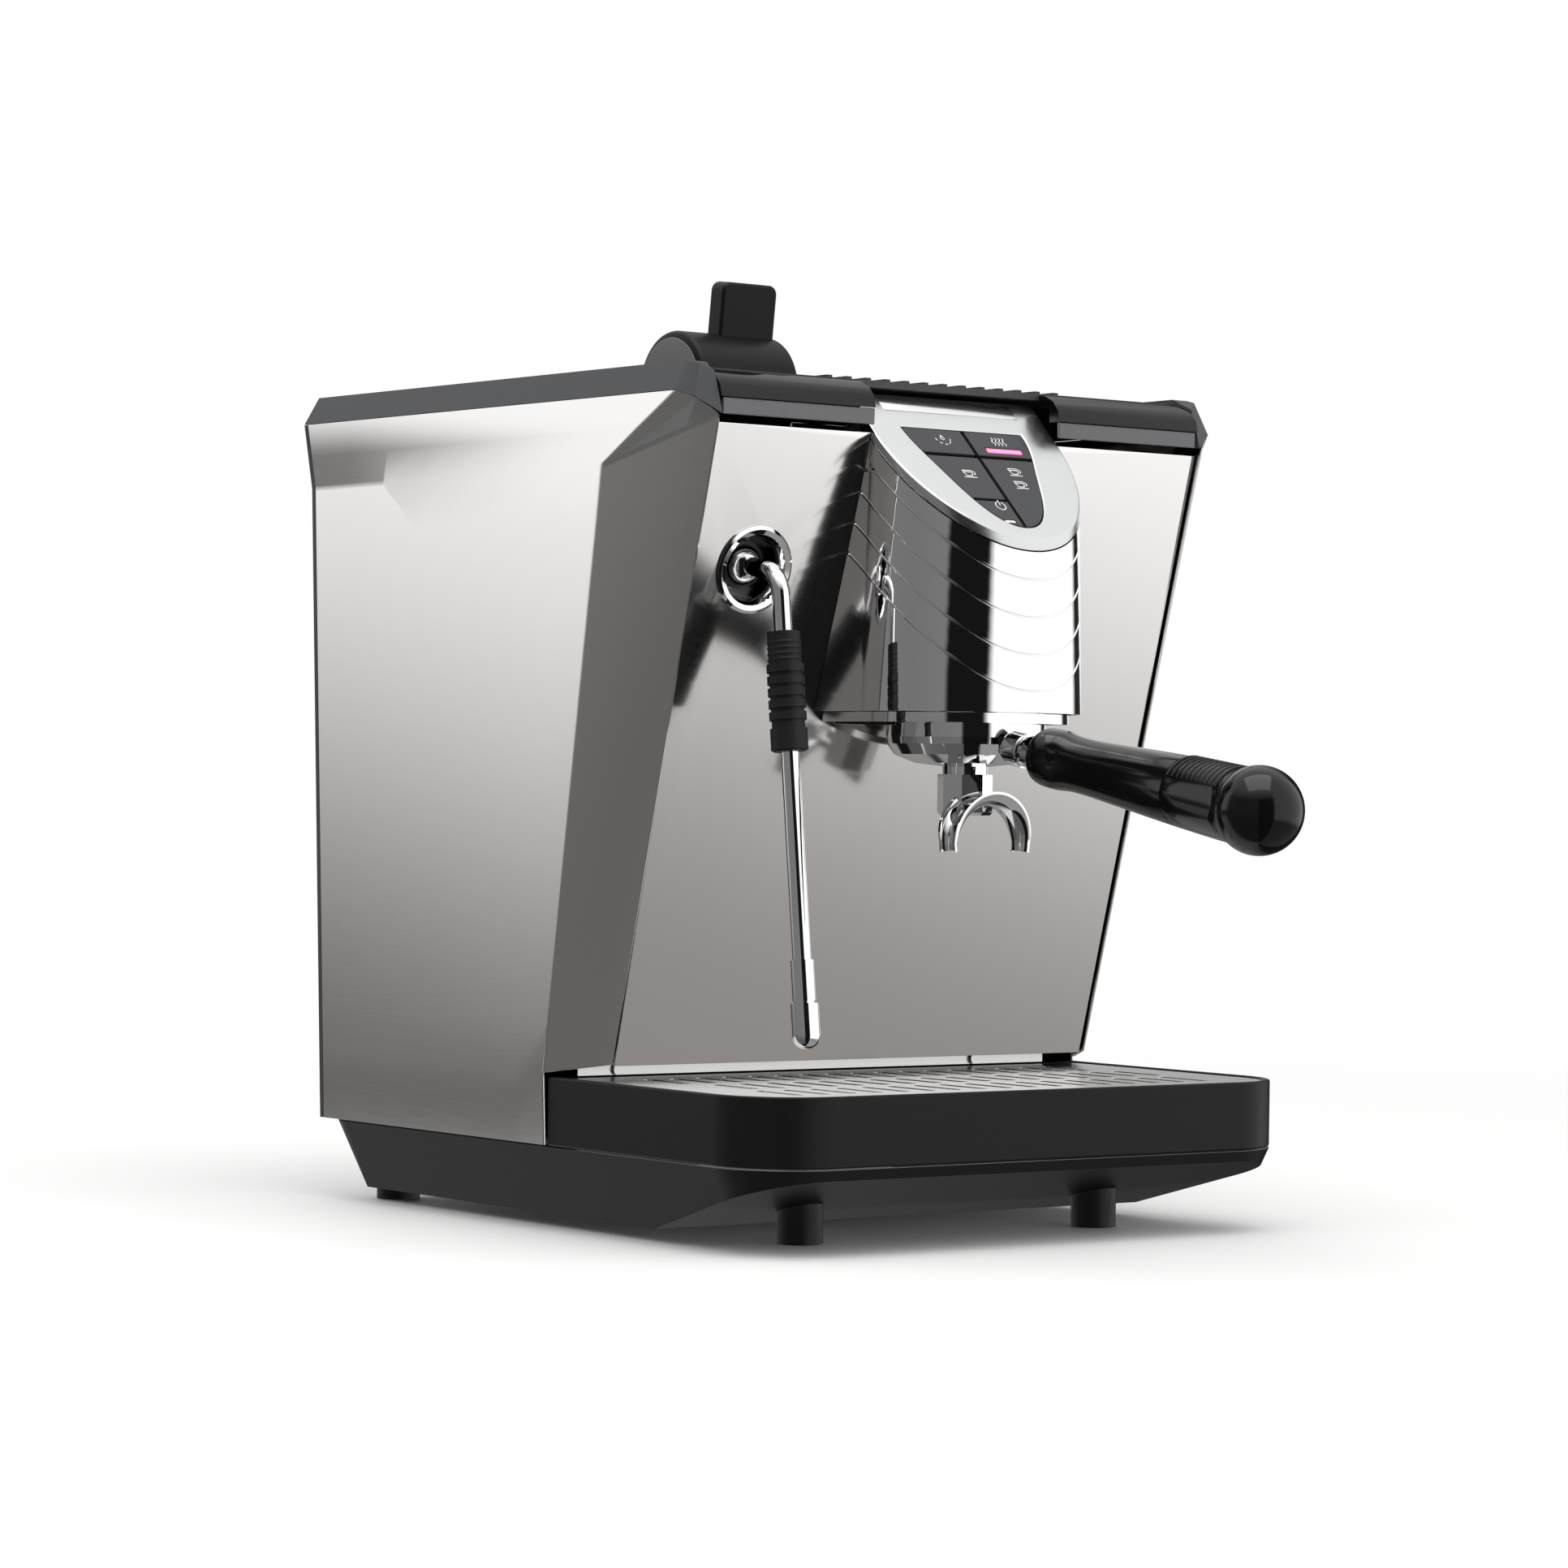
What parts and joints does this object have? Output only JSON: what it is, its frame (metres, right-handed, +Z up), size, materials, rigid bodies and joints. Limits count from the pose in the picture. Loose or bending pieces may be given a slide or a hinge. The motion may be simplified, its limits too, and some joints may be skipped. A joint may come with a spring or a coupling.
{
  "type": "espresso machine",
  "caption": "Single-group home espresso machine with leaning mirror front, portafilter, ball-jointed steam wand, drip tray, lift-out water tank and inclined button panel.",
  "frame": {"origin": "on the surface the machine stands on, under the middle of its whole box in plan, the portafilter's handle included", "axes": "+Z up, the front with the portafilter faces -Y, +X to the right seen from the front"},
  "size_m": [0.313, 0.5047, 0.4085],
  "materials": {
    "polished_steel": "mirror polished",
    "mirror_panel": "mirror polished",
    "satin_steel": "satin",
    "black_paint": "satin black",
    "frame_paint": "satin grey",
    "black_plastic": "fine grained",
    "rim_plastic": "matt dark grey",
    "gloss_black": "gloss black",
    "grey_plastic": "matt grey",
    "clear_tank": "smoked translucent",
    "chrome": "bright chrome",
    "bezel_metal": "satin plated",
    "button_plastic": "matt dark grey",
    "light_window": "lit window",
    "board": "printed circuit board",
    "brass": "bare brass",
    "rubber": "matt black",
    "nylon": "black nylon",
    "insulation": "felted glass fibre",
    "copper": "copper tube"
  },
  "bodies": {
    "machine": {"base_tub": "black_plastic", "feet": "rubber", "foot_screws": "satin_steel", "chassis_frame": "frame_paint", "left_side_panel": "polished_steel", "right_side_panel": "polished_steel", "front_panel": "mirror_panel", "lower_front_strip": "satin_steel", "back_panel": "black_paint", "panel_screws": "satin_steel", "power_inlet": "gloss_black", "top_rim": "rim_plastic", "front_cap": "gloss_black", "cap_strip": "grey_plastic", "cup_tray": "satin_steel", "tank_seat": "black_plastic", "group_cover": "chrome", "cover_base_plate": "chrome", "control_bezel": "bezel_metal", "button_pad": "gloss_black", "indicator_lights": "light_window", "control_board": "board", "group_body": "brass", "group_ring": "chrome", "group_gasket": "rubber", "shower_screen": "satin_steel", "screen_screw": "satin_steel", "wand_socket": "chrome", "lever_bracket": "satin_steel", "steam_valve": "brass", "boiler": "brass", "boiler_insulation": "insulation", "heating_element": "satin_steel", "pump": "frame_paint", "solenoid_valve": "brass", "flow_meter": "black_plastic", "pipes": "copper"},
    "portafilter": {"portafilter_body": "chrome", "filter_basket": "satin_steel", "basket_spring": "satin_steel", "portafilter_neck": "chrome", "portafilter_handle": "gloss_black", "handle_end": "gloss_black", "spout": "chrome"},
    "wand_seat": {"wand_seat": "nylon"},
    "wand": {"wand_tube": "chrome", "wand_sleeve": "rubber", "wand_tip": "chrome"},
    "steam_lever": {"steam_lever": "black_plastic", "lever_end_disc": "grey_plastic", "lever_shaft": "satin_steel"},
    "drip_tray": {"drip_tray": "black_plastic"},
    "drip_grate": {"drip_grate": "satin_steel"},
    "water_tank": {"water_tank": "clear_tank"},
    "tank_lid": {"tank_lid": "black_plastic"},
    "drip_button": {"drip_button": "button_plastic"},
    "steam_button": {"steam_button": "button_plastic"},
    "one_cup_button": {"one_cup_button": "button_plastic"},
    "two_cup_button": {"two_cup_button": "button_plastic"},
    "power_button": {"power_button": "button_plastic"}
  },
  "joints": [
    {"name": "portafilter_lock", "type": "hinge", "parent": "machine", "child": "portafilter", "pos_m": [0, -0.04587, 0.2214], "axis": [0, 0, 1], "range_deg": [-45, 0]},
    {"name": "wand_swing", "type": "hinge", "parent": "machine", "child": "wand_seat", "pos_m": [-0.101, -0.01717, 0.2875], "axis": [0, 0, 1], "range_deg": [-25, 25]},
    {"name": "wand_tilt", "type": "hinge", "parent": "wand_seat", "child": "wand", "pos_m": [-0.101, -0.01717, 0.2875], "axis": [-1, 0, 0], "range_deg": [-6, 25]},
    {"name": "steam_lever_turn", "type": "hinge", "parent": "machine", "child": "steam_lever", "pos_m": [-0.1025, -0.00187, 0.362], "axis": [1, 0, 0], "range_deg": [-25, 25]},
    {"name": "drip_tray_slide", "type": "slide", "parent": "machine", "child": "drip_tray", "axis": [0, -1, 0], "range_m": [0, 0.15]},
    {"name": "drip_grate_lift", "type": "slide", "parent": "drip_tray", "child": "drip_grate", "axis": [0, 0, 1], "range_m": [0, 0.003]},
    {"name": "water_tank_lift", "type": "slide", "parent": "machine", "child": "water_tank", "axis": [0, 0, 1], "range_m": [0, 0.29]},
    {"name": "tank_lid_lift", "type": "slide", "parent": "water_tank", "child": "tank_lid", "axis": [0, 0, 1], "range_m": [0, 0.06]},
    {"name": "drip_button_press", "type": "slide", "parent": "machine", "child": "drip_button", "axis": [0, 0.6947, -0.7193], "range_m": [0, 0.001], "stiffness_N_per_m": 600, "springref_m": -0.0004},
    {"name": "steam_button_press", "type": "slide", "parent": "machine", "child": "steam_button", "axis": [0, 0.6947, -0.7193], "range_m": [0, 0.001], "stiffness_N_per_m": 600, "springref_m": -0.0004},
    {"name": "one_cup_button_press", "type": "slide", "parent": "machine", "child": "one_cup_button", "axis": [0, 0.6947, -0.7193], "range_m": [0, 0.001], "stiffness_N_per_m": 600, "springref_m": -0.0004},
    {"name": "two_cup_button_press", "type": "slide", "parent": "machine", "child": "two_cup_button", "axis": [0, 0.6947, -0.7193], "range_m": [0, 0.001], "stiffness_N_per_m": 600, "springref_m": -0.0004},
    {"name": "power_button_press", "type": "slide", "parent": "machine", "child": "power_button", "axis": [0, 0.6947, -0.7193], "range_m": [0, 0.001], "stiffness_N_per_m": 600, "springref_m": -0.0004}
  ]
}
